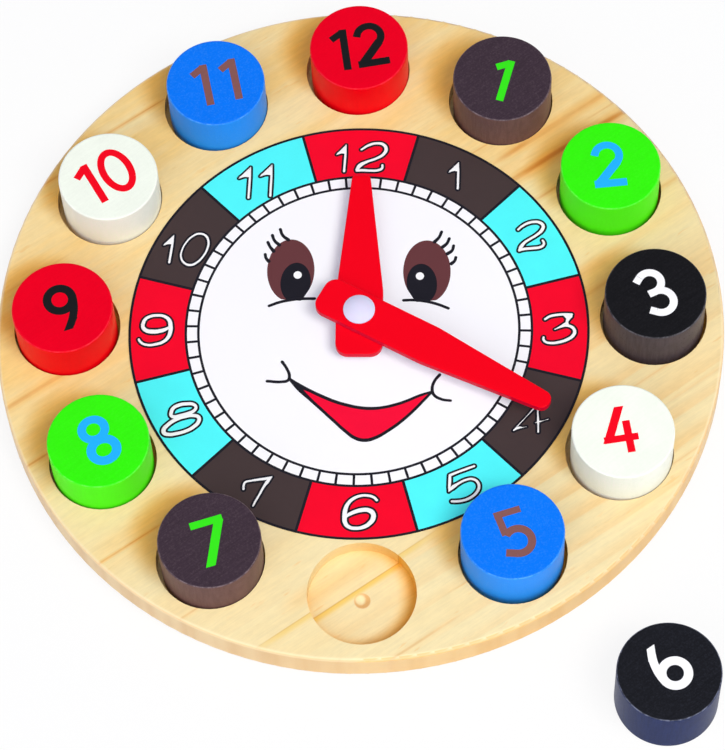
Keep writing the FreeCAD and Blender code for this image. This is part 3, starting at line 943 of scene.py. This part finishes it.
@dataclass
class Dial:
    """The printed sheet: coloured hours, minute track, numerals and a smiling face, in millimetres."""

    centre: Point = (-0.5, -2.8)
    print_turn: float = -0.88
    track_turn: float = -1.1
    track: Point = (66.2, 71.4)
    rim: float = 94.6
    line: float = 1.05
    numeral_radius: float = 83.0
    halo: float = 0.78
    inset: float = -0.05
    field_ink: float = 0.02
    ring_ink: float = 0.04
    mark_ink: float = 0.055
    halo_base: float = 0.05
    white_base: float = 0.155
    line_base: float = 0.075
    eye_places: tuple[Point, Point] = ((-28.5, 27.2), (28.1, 26.4))
    eye_inks: tuple[float, ...] = (0.02, 0.05, 0.08)
    iris: Point = (19.7, 29.2)
    pupil: Point = (12.6, 18.6)
    spark: Point = (3.4, 3.5)
    lip_ink: float = 0.03
    paper: Print = Print("dial_paper", (253, 252, 255), 0.38, Skin(
        tone=0.025, clouds=45.0, grains=1600.0, gloss=0.08, relief=0.006, shine=0.20))

    DIGITS = {
        "0": [[(4.7, 3.2, .5), (7.4, 2.3, .52), (8.7, -.5, .5), (8.3, -4, .48), (6.8, -7.3, .45),
            (4.4, -10.2, .5), (1.4, -11.6, .55), (-1.2, -10.5, .5), (-2.6, -7.6, .42), (-2.2, -4.4, .38),
            (-.5, -.8, .38), (2, 2, .45), (4.7, 3.2, .5)]],
        "1": [[(0, 12.5, .25), (0, 8, .5), (0, 0, .5)], [(-4.1, 8, .2), (-.1, 12.3, .25)], [(-4, 8, .2),
            (-1.8, 8.9, .45), (-.4, 8.9, .6)], [(-3.6, 8.6, .3), (-1.1, 10, 1)], [(-.9, 9.6, .8),
            (-.5, 11.2, .58)]],
        "2": [[(-5.7, 4.4, .5), (-4, 6, .55), (-1.6, 7.4, .6), (.8, 8, .62), (3.2, 7.7, .7),
            (4.7, 6.1, .75), (4.2, 4.1, .75), (2.2, 2, .62), (-.5, .1, .58), (-3, -1.7, .62),
            (-4.6, -3.8, .8), (-5.3, -5.4, .6)], [(-5.4, -5.6, .5), (-3.6, -4.9, .65), (0, -4.5, .65),
            (3.3, -4, .65), (4.7, -3, .6), (4.9, -1.9, .55), (4.4, -.8, .48)]],
        "2 wide": [[(.4, 1.7, .45), (3.5, 3.8, .6), (6.8, 4.7, .62), (9.7, 4, .72), (10.8, 2, .78),
            (9.8, -.5, .7), (7, -2.5, .6), (2.6, -4.3, .65), (-.2, -6, .9), (-1.4, -8, .75)],
            [(-1.5, -8.5, .55), (1, -8.3, .65), (4, -8.5, .6), (7.6, -8.3, .62), (9.1, -7.4, .58),
            (9.3, -5.9, .5)]],
        "3": [[(-6.2, 3.8, .5), (-4.2, 5.1, .6), (-1.2, 5.8, .6), (2, 6, .62), (4.7, 5.9, .65)],
            [(4.3, 5.2, .9), (3.2, 3.6, .75), (2.8, 2.3, .6), (3, 1.2, .7)], [(1.9, 5.5, .5), (3, 4.4, .7)],
            [(3, 5.5, .6), (3.9, 4.8, .7)], [(-2.2, -.9, .25), (.2, .1, .35), (2.6, .8, .6), (4.8, .1, .7),
            (5.9, -1.7, .75), (5.2, -3.8, .75), (3, -5.5, .7), (-.5, -6.8, .65), (-4, -7.2, .6),
            (-6.2, -6.6, .55), (-7, -5.3, .55), (-6.9, -4.6, .5)], [(-2, -.8, .2), (.8, .9, .4),
            (2.8, 2.2, .55)]],
        "4": [[(0, 4.7, .35), (-3, 1.1, .16), (-6.2, -2.6, .22), (-8.6, -5.4, .2)], [(-8.5, -5.5, .2),
            (-6.6, -4.2, .55), (-4.6, -4, .16), (-3.2, -3.7, .1)], [(.3, -2, .1), (1.6, -1.5, .4),
            (3.2, -1.2, .18), (4.3, -.8, .1), (5.6, -.4, .2)], [(0, 4.8, .35), (1.1, 4.4, .42),
            (1.4, 2, .35), (1.5, -1.5, .5), (1.5, -3.5, .35), (1.5, -6.1, .4)]],
        "5": [[(5.8, 9.1, .5), (2.5, 7.8, .55), (-1, 6.4, .55), (-3.9, 5.1, .6)], [(-4, 5, .6),
            (-4.1, 2.2, .65), (-4.3, -.5, .5), (-4.5, -2.2, .2)], [(-4.4, -2.1, .2), (-3, -.4, .78),
            (-.6, 1.4, .55), (2.4, 3, .52), (5, 3.4, .55), (7.1, 2.1, .6), (7.7, -.1, .6), (6.8, -2.5, .6),
            (4.2, -4.9, .6), (1, -6.2, .58), (-1.5, -6.5, .58), (-3.2, -6.5, .55)]],
        "6": [[(8, 5.3, .6), (6.8, 6.5, .62), (4.4, 7.3, .6), (1.4, 7.2, .62), (-1.4, 6, .7),
            (-3.5, 3.9, .8), (-4.6, 1.2, .95), (-4.9, -2, 1), (-4.6, -4.8, .95), (-3.1, -6.5, .85),
            (-.5, -7.1, .78), (2.6, -6.6, .85), (5.1, -5, .95), (6.6, -2.7, 1.05), (6.4, -.4, 1.05),
            (4.9, .8, 1), (2.4, 1, .95), (-.4, .3, .9), (-2.8, -.8, .8), (-4.2, -1.7, .7)]],
        "7": [[(-4.4, -.8, .48), (-4.3, 1.2, .48), (-3.7, 2.3, .48), (-1.5, 2.9, .48), (2, 3.5, .58),
            (5.2, 4, .62), (6.9, 4.6, .32)], [(6.8, 4.4, .3), (5.3, 2.6, .75), (4, .6, .55), (2.2, -3, .48),
            (.4, -6.5, .46), (-.4, -8.2, .36)]],
        "8": [[(-7.2, -4.6, .95), (-5.5, -2.2, .85), (-2, .3, .85), (1.5, 1.5, .8), (4.8, 1.9, .8),
            (6.9, 1.1, .85), (7, -.7, .82), (5, -3.2, .8), (1.8, -5.1, .75), (-1.8, -6.2, .78),
            (-5, -6.6, .8), (-6.9, -6, .9), (-7.2, -4.6, .95)], [(-4.4, 3.2, .8), (-3.7, 5.1, .8),
            (-1.5, 6.6, .82), (1.8, 7.2, .78), (4.7, 6.9, .75), (5.7, 5.6, .68), (4.8, 4, .72),
            (2.6, 2.8, .85), (-.4, 1.8, .95), (-3, 1.3, .85), (-4.3, 1.9, .75), (-4.4, 3.2, .8)]],
        "9": [[(-6.3, 2.2, .8), (-5.5, 4.4, .75), (-3.4, 5.9, .7), (-.4, 6.4, .66), (2.6, 5.9, .72),
            (4.6, 4.1, .85), (5.2, 1.6, .95), (5.2, -1.2, .9), (4.3, -3.9, .8), (2.3, -5.9, .7),
            (-.8, -7, .65), (-3.8, -7.3, .6), (-6.1, -6.6, .58), (-7.4, -5.3, .55), (-7.7, -4.7, .5)],
            [(-6.3, 2.2, .8), (-6.1, .8, .85), (-4.7, -.6, .95), (-2, -1.1, 1), (1, -.8, .95), (3.3, 0, .8),
            (4.6, .8, .6)]],
    }
    HOURS = {hour: [(str(hour), 0, 0, 1, 1, 0)] for hour in range(2, 10)} | {
        1: [("1", -.5, -6.3, .95, 1, .03)], 10: [("1", -7.4, -10.3, .87, 1.02, .12), ("0", 0, 0, 1, 1, 0)],
        11: [("1", -5.4, -10.1, 1.12, 1.17, .04), ("1", 3.75, -9.3, 1.15, 1.19, .03)],
        12: [("1", -6.85, -8.8, .9, 1.02, .06), ("2 wide", 0, 0, 1, 1, 0)],
    }
    BANDS = {Ink.RED: (12, 3, 6, 9), Ink.BROWN: (1, 4, 7, 10), Ink.CYAN: (2, 5, 8, 11)}
    LASH_WIDTHS = (.65, .65, .78)
    LASHES = (
        ((-39.3, 34.8), (-38.9, 33), (-37.8, 31.5)), ((-38.3, 40.5), (-37.3, 38.3), (-35.8, 36.3)),
        ((-36.5, 43.8), (-35.5, 41.2), (-33.5, 39.2)), ((-33.2, 46.6), (-32.2, 43.8), (-29.8, 41.6)),
        ((34.2, 45), (33.2, 42.5), (31.3, 40.3)), ((37.4, 41.8), (36.5, 39.6), (34.6, 37.8)),
        ((39.2, 38.4), (38.6, 36.2), (36.6, 34.6)), ((40.1, 32.9), (39.7, 31.4), (38.2, 29.9)),
    )
    LINES = (
        [(-37.2, 10.6, .62), (-33.5, 12.1, .65), (-30, 13, .65), (-24.5, 13.8, .65), (-18.4, 13.9, .65)],
        [(18.5, 12.9, .65), (22.5, 13, .65), (27, 12.5, .65), (32, 11.2, .65), (37, 9.1, .62)],
        [(-28.4, -22.9, .59), (-24.8, -25.8, .98), (-20, -28.4, .72), (-15, -31, .72), (-10, -33.3, .72),
         (-5, -35, .72), (0, -36.2, .72), (5, -36.7, .72), (10, -36.3, .65), (15, -35.1, .65),
         (20, -33.3, .62), (25, -31, .59), (30.2, -29.2, .52)],
        [(-28.4, -23, .52), (-24.2, -27.6, .98), (-20, -32, .72), (-15, -37, .65), (-10, -42, .65),
         (-5, -46.9, .68), (-1, -50, .75), (3, -51, .78), (7, -50, .75), (12, -47, .68), (18, -42.3, .65),
         (23, -37.4, .62), (27, -32.9, .59), (30.2, -29.3, .52)],
        [(-31.3, -15.3, .65), (-29.3, -18.5, .62), (-28.2, -22, .65), (-28.7, -23.7, .65),
         (-31, -24.4, .65), (-37.3, -24.1, .65)],
        [(33.4, -21.5, .65), (31.2, -24.5, .62), (30.3, -28, .65), (31, -30.6, .65), (34, -32.6, .62),
         (37.8, -33.3, .59)],
    )
    LIP_EDGE = (
        (-24.6, -26.6, True), (-15, -31.3), (-5, -35.4), (5, -37.1), (15, -35.5), (25, -31.4),
        (29.6, -29.7, True), (23, -37), (18, -42), (12, -46.6), (7, -49.6), (3, -50.6), (-1, -49.7),
        (-5, -46.7), (-15, -36.8), (-20, -31.8),
    )

    @property
    def top(self) -> float:
        """Height of the sheet's printed side."""
        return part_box("dial_sheet")[1][2] / MM

    def lay(self, drawing: Drawing, ink: Ink, middle: Point | None = None) -> None:
        """Prints a drawing on the sheet, about the dial's middle or another."""
        drawing.piece(INKS[ink], "clock_board", "dial_paper", self.print_turn, middle or self.centre)

    def build(self) -> None:
        """Lays the print on the sheet, layer by layer."""
        coat("dial_sheet", self.paper.material())
        self.bands()
        self.track_lines()
        for hour in range(1, 13):
            self.numeral(hour)
        self.eyes()
        self.lips()
        self.lines()

    def bands(self) -> None:
        """The twelve coloured hour fields."""
        middle, width = (self.track[1] + self.rim) / 2, self.rim - self.track[1]
        for ink, hours in self.BANDS.items():
            film = Film(f"hour_fields_{ink.name.lower()}", self.top, self.field_ink, levels=1)
            for start in (75 - 30 * hour for hour in hours):
                film.arc((0, 0), middle, start, start + 30, width, steps=20)
            self.lay(film, ink)

    def track_lines(self) -> None:
        """The black rings, the lines between the hours and the sixty minute marks."""
        rings = Film("track_rings", self.top, self.ring_ink, levels=1)
        for radius in (*self.track, self.rim):
            inner, outer = radius - self.line / 2, radius + self.line / 2
            rings.ring((0, 0), (inner, inner), (outer, outer), steps=240)
        self.lay(rings, Ink.BLACK)
        for name, turns, span, width in (
                ("hour_lines", range(15, 375, 30), (self.track[1], self.rim), self.line * 1.1),
                ("minute_marks", [6 * minute - self.track_turn for minute in range(60)], self.track,
                 self.line)):
            marks = Film(name, self.top, self.mark_ink, levels=1)
            for turn in turns:
                marks.bar(*(tuple(self.out(turn) * radius) for radius in span), width)
            self.lay(marks, Ink.BLACK)

    @staticmethod
    def out(degrees: float) -> Vector:
        """The direction at an angle clockwise from twelve."""
        return Vector((math.sin(math.radians(degrees)), math.cos(math.radians(degrees))))

    def numeral(self, hour: int) -> None:
        """Prints one hour's brush numeral, white strokes on a dark halo.

        Args:
            hour: The hour, from 1 to 12.
        """
        middle = Vector(self.centre) + Matrix.Rotation(math.radians(self.print_turn), 2) @ (
            self.out(30 * hour) * self.numeral_radius)
        for layer, ink, extra, base in (("halo", Ink.BLACK, self.halo, self.halo_base),
                                        ("white", Ink.WHITE, self.inset, self.white_base)):
            brush = Brush(f"dial_{hour}_{layer}", self.top + base)
            for digit, x, y, wide, high, lean in self.HOURS[hour]:
                for stroke in self.DIGITS[digit]:
                    brush.stroke([(x + px * wide + lean * py * high, y + py * high, half)
                                  for px, py, half in stroke], extra)
            self.lay(brush, ink, tuple(middle))

    def eyes(self) -> None:
        """The eyes, cut level by their lids."""
        iris, pupil, spark = (Film(f"face_{name}", self.top, ink)
                              for name, ink in zip(("irises", "pupils", "sparks"), self.eye_inks))
        for side, (x, y) in zip((-1, 1), self.eye_places):
            lid = ((x + side * 0.5, y - 13.8), (side * 0.10, -1.0))
            edge = ((x - side * 7.2, y - 9.9), (-side * 0.86, -0.5))
            iris.oval((x, y), self.iris, cuts=(lid,))
            pupil.oval((x - side * 2.1, y - 5.7), self.pupil, side * 4.0, cuts=(lid, edge))
            spark.oval((x - side * 2.9, y - 2.2), self.spark)
        for film, ink in ((iris, Ink.IRIS), (pupil, Ink.BLACK), (spark, Ink.WHITE)):
            self.lay(film, ink)

    def lips(self) -> None:
        """The red of the smile, a flat curve filled between its lines."""
        curve = bpy.data.curves.new("face_smile", "CURVE")
        curve.dimensions = "2D"
        curve.fill_mode = "BOTH"
        curve.extrude = self.lip_ink
        spline = add_spline(curve, self.LIP_EDGE, closed=True)
        for point, place in zip(spline.bezier_points, self.LIP_EDGE):
            if len(place) > 2:
                point.handle_left_type = point.handle_right_type = "VECTOR"
        patch = Drawing("face_smile", self.top)
        load_surface(curve, patch.bm)
        bmesh.ops.remove_doubles(patch.bm, verts=patch.bm.verts, dist=patch.JOIN)
        bmesh.ops.translate(patch.bm, verts=patch.bm.verts, vec=(0, 0, patch.base))
        self.lay(patch, Ink.LIPS)

    def lines(self) -> None:
        """The lashes, the lower lids and the lines of the smile."""
        lines = Brush("face_lines", self.top + self.line_base)
        lashes = ([(*place, half) for place, half in zip(lash, self.LASH_WIDTHS)] for lash in self.LASHES)
        for stroke in (*lashes, *self.LINES):
            lines.stroke(stroke)
        self.lay(lines, Ink.BLACK)


@dataclass
class Hands:
    """The two moulded hands and the rivet that carries them."""

    red: Moulding = Moulding("hand_plastic", (246, 0, 26), (226, 0, 44), 0.34, 0.08)
    white: Moulding = Moulding("rivet_plastic", (224, 221, 247), (206, 204, 232), 0.45, 0.14)

    def dress(self) -> None:
        """Gives the hands and the rivet their plastics."""
        red, white = self.red.material(), self.white.material()
        for node, material in (("hour_hand", red), ("minute_hand", red), ("pivot_pin", white),
                               ("pivot_sleeve", white)):
            coat(node, material)


@dataclass
class Pegs:
    """The painted pegs with their stencilled numerals, in millimetres about each peg's axis."""

    ink: float = 0.03
    colours: dict[int, PegColour] = field(default_factory=lambda: {
        12: PegColour.RED, 9: PegColour.RED, 1: PegColour.BROWN, 7: PegColour.BROWN, 2: PegColour.GREEN,
        8: PegColour.GREEN, 3: PegColour.BLACK, 6: PegColour.BLUE_BLACK, 4: PegColour.CREAM,
        10: PegColour.CREAM, 5: PegColour.BLUE, 11: PegColour.BLUE})

    NUMERALS = {
        1: [("1", -1.5, -11, -16)], 2: [("2", -1.4, 4.65, 4.9)], 3: [("3", 2.05, -3.9, 23.7)],
        4: [("4", 0, 0, 8.2)], 5: [("5", 0, 0, 17)], 6: [("6", 2.2, -.8, 48.7)], 7: [("7", 0, 0, 17)],
        8: [("8", 2.5, -4.2, 26.8)], 9: [("9", -1.05, 3.45, 25.3)],
        10: [("1", -.7, -12.1, 29.5), ("0", 3.55, 2.6, 30)],
        11: [("1", -1.8, -11, 11), ("1", 10.1, -8.3, 11)],
        12: [("1", -4.6, -11.15, 7), ("2", 4.3, 5.2, 9.2)],
    }
    DIGITS = {
        "0": [(Film.ring, (0, 0), (4.0, 7.8), (7.0, 11.0))],
        "1": [(Film.bar, (0, 0), (0, 20), 3.2), (Film.bar, (-5.3, 15.5), (-.1, 18.75), 3.1)],
        "2": [(Film.bar, (-5.2, .45), (-4.7, 1.9), 3.2), (Film.arc, (0, 0), 5.05, 162, -41.5, 3.2),
              (Film.bar, (3.9, -3.2), (-5.1, -13.4), 3.7), (Film.bar, (-6.6, -13.1), (6.8, -13.1), 3.4)],
        "3": [(Film.bar, (-3.25, 13.43), (-5.7, 11.7), 3.2), (Film.arc, (-.5, 9.65), 4.65, 125, -90, 3.2),
              (Film.bar, (-3.1, 5.0), (0, 5.0), 3.2), (Film.arc, (0, 0), 5.1, 90, -138, 3.2),
              (Film.bar, (-3.75, -3.44), (-5.75, -1.7), 3.2)],
        "4": [(Film.bar, (.07, 11.0), (-7.0, -4.45), 3.5, 0), (Film.bar, (-8.3, -3.1), (5.6, -3.1), 3.0),
              (Film.bar, (1.75, -9.7), (1.75, 4.4), 3.1)],
        "5": [(Film.bar, (-5.1, 8.3), (5.8, 8.3), 2.8), (Film.bar, (-3.65, 9.4), (-3.2, -.9), 2.9),
              (Film.arc, (.85, -4.75), 5.35, 138, -110, 3.2), (Film.bar, (-1.0, -9.8), (-5.4, -8.1), 3.2)],
        "6": [(Film.ring, (0, 0), (3.4, 3.4), (7.0, 7.0)), (Film.arc, (16.4, -2.9), 22, 172, 137, 3.3),
              (Film.bar, (-1.4, 10.3), (2.3, 14.25), 3.2, -14)],
        "7": [(Film.bar, (-5.7, 7.7), (7.6, 7.7), 3.1), (Film.bar, (5.9, 7.0), (-2.55, -11.26), 3.6, 0)],
        "8": [(Film.ring, (0, 0), (3.3, 2.9), (7.1, 6.6)), (Film.ring, (0, 10.1), (2.95, 2.75), (6.45, 6.1))],
        "9": [(Film.ring, (0, 0), (3.4, 3.4), (6.95, 6.95)), (Film.arc, (-16.4, 2.9), 22, -8, -43, 3.3),
              (Film.bar, (1.4, -10.3), (-2.3, -14.25), 3.2, -6)],
    }

    def build(self) -> None:
        """Paints every peg and prints its numeral on its top."""
        paints = {colour: colour.value[0].material() for colour in PegColour}
        for hour, colour in self.colours.items():
            node = f"peg_{hour}"
            coat(node, paints[colour])
            low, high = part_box(node)
            axis = [(low[i] + high[i]) / 2 / MM for i in (0, 1)]
            film = Film(f"numeral_{hour}", high[2] / MM, self.ink)
            for digit, x, y, tilt in self.NUMERALS[hour]:
                before = set(film.bm.verts)
                for shape, *sizes in self.DIGITS[digit]:
                    shape(film, *sizes)
                fresh = [v for v in film.bm.verts if v not in before]
                settle(film.bm, fresh, tilt, (axis[0] + x, axis[1] + y))
            paint, ink = colour.value
            film.piece(INKS[ink], node, f"peg_paint_{paint.name.removeprefix('blue_')}")


@dataclass(frozen=True)
class Lamp:
    """A square lamp aimed at the clock; at level 1 it lights a level white face at the middle as white."""

    name: str
    place: tuple[float, float, float]
    size: float
    level: float
    tint: Colour = (1.0, 1.0, 1.0)

    def build(self) -> None:
        """Sets the lamp up."""
        light = bpy.data.lights.new(self.name, "AREA")
        light.size = self.size
        light.color = self.tint
        way = Vector(self.place)
        light.energy = math.pi ** 2 * self.level * way.length_squared / way.normalized().z
        lamp = add_object(self.name, light)
        lamp.location = way
        lamp.rotation_euler = way.to_track_quat("Z", "Y").to_euler()


@dataclass
class Studio:
    """Pale sweep, soft lamps and the camera, in metres and degrees."""

    eye: tuple[float, float, float] = (0.03332, -0.68895, 1.36239)
    swing: float = 2.79
    pitch: float = 26.29
    roll: float = -3.53
    lens: float = 176.0
    sky: float = 0.385
    sky_tint: tuple[float, ...] = (0.95, 0.97, 1.15, 1.0)
    key: Lamp = Lamp("key", (0.92, -0.95, 2.15), 1.1, 0.475, (1.0, 0.985, 0.91))
    fill: Lamp = Lamp("fill", (-0.75, -2.0, 2.2), 3.0, 0.25)
    profile: tuple[Point, ...] = ((0, 0), (3.2, 0), (3.7, 0.07), (4.05, 0.3), (4.2, 0.7), (4.2, 1.3))
    gap: float = 0.0002
    lit_share: float = 0.85

    def build(self) -> None:
        """Sets the colour handling, the world, the sweep, the lamps and the camera."""
        scene = bpy.context.scene
        scene.view_settings.view_transform = "Standard"
        scene.world = bpy.data.worlds.new("studio")
        scene.world.use_nodes = True
        sky = scene.world.node_tree.nodes["Background"].inputs
        sky[0].default_value, sky[1].default_value = self.sky_tint, self.sky
        self.sweep()
        self.key.build()
        self.fill.build()
        self.camera()

    def sweep(self) -> None:
        """A white floor that curves up into a low wall all round."""
        bm = bmesh.new()
        verts = [bm.verts.new((x, 0.0, z - self.gap)) for x, z in self.profile]
        edges = [bm.edges.new(pair) for pair in zip(verts, verts[1:])]
        bmesh.ops.spin(bm, geom=[*verts, *edges], cent=(0, 0, 0), axis=(0, 0, 1), angle=math.tau, steps=72,
                       use_merge=True)
        bmesh.ops.remove_doubles(bm, verts=bm.verts, dist=1e-5)
        bmesh.ops.recalc_face_normals(bm, faces=bm.faces)
        add_mesh("sweep", bm, self.sweep_white())

    def sweep_white(self) -> Material:
        """White that keeps the clock's shadow and is lit of itself where it is seen.

        Returns:
            The material.
        """
        material = bpy.data.materials.new("sweep_white")
        material.use_nodes = True
        material.node_tree.nodes.clear()
        graph = Graph(material.node_tree)
        camera, glossy, passed = (graph.add("LightPath").outputs[f"Is {ray} Ray"]
                                  for ray in ("Camera", "Glossy", "Transmission"))
        seen = graph.math("MAXIMUM", camera, graph.math("MAXIMUM", glossy, passed))
        matt = graph.add("BsdfDiffuse", {0: (0.93, 0.93, 0.93, 1.0)})
        white = graph.add("Emission", {0: (1.0, 1.0, 1.0, 1.0), 1: 1.0})
        share = graph.product(seen, self.lit_share)
        mixed = graph.add("MixShader", {0: share, 1: matt.outputs[0], 2: white.outputs[0]})
        graph.add("OutputMaterial", {"Surface": mixed.outputs[0]})
        return material

    def camera(self) -> None:
        """The camera, looking steeply down from the front."""
        data = bpy.data.cameras.new("camera")
        data.sensor_width = 36.0
        data.sensor_fit = "AUTO"
        data.lens = self.lens
        camera = add_object("camera", data)
        swing, pitch, roll = (Matrix.Rotation(math.radians(angle), 4, axis)
                              for angle, axis in ((self.swing, "Z"), (self.pitch, "X"), (self.roll, "Z")))
        camera.matrix_world = Matrix.Translation(self.eye) @ swing @ pitch @ roll
        bpy.context.scene.camera = camera


def main() -> None:
    """Dresses the clock and sets the studio."""
    logging.basicConfig(level=logging.INFO, format="%(message)s")
    Board().dress()
    Dial().build()
    Hands().dress()
    Pegs().build()
    Studio().build()


if __name__ == "__main__":
    main()
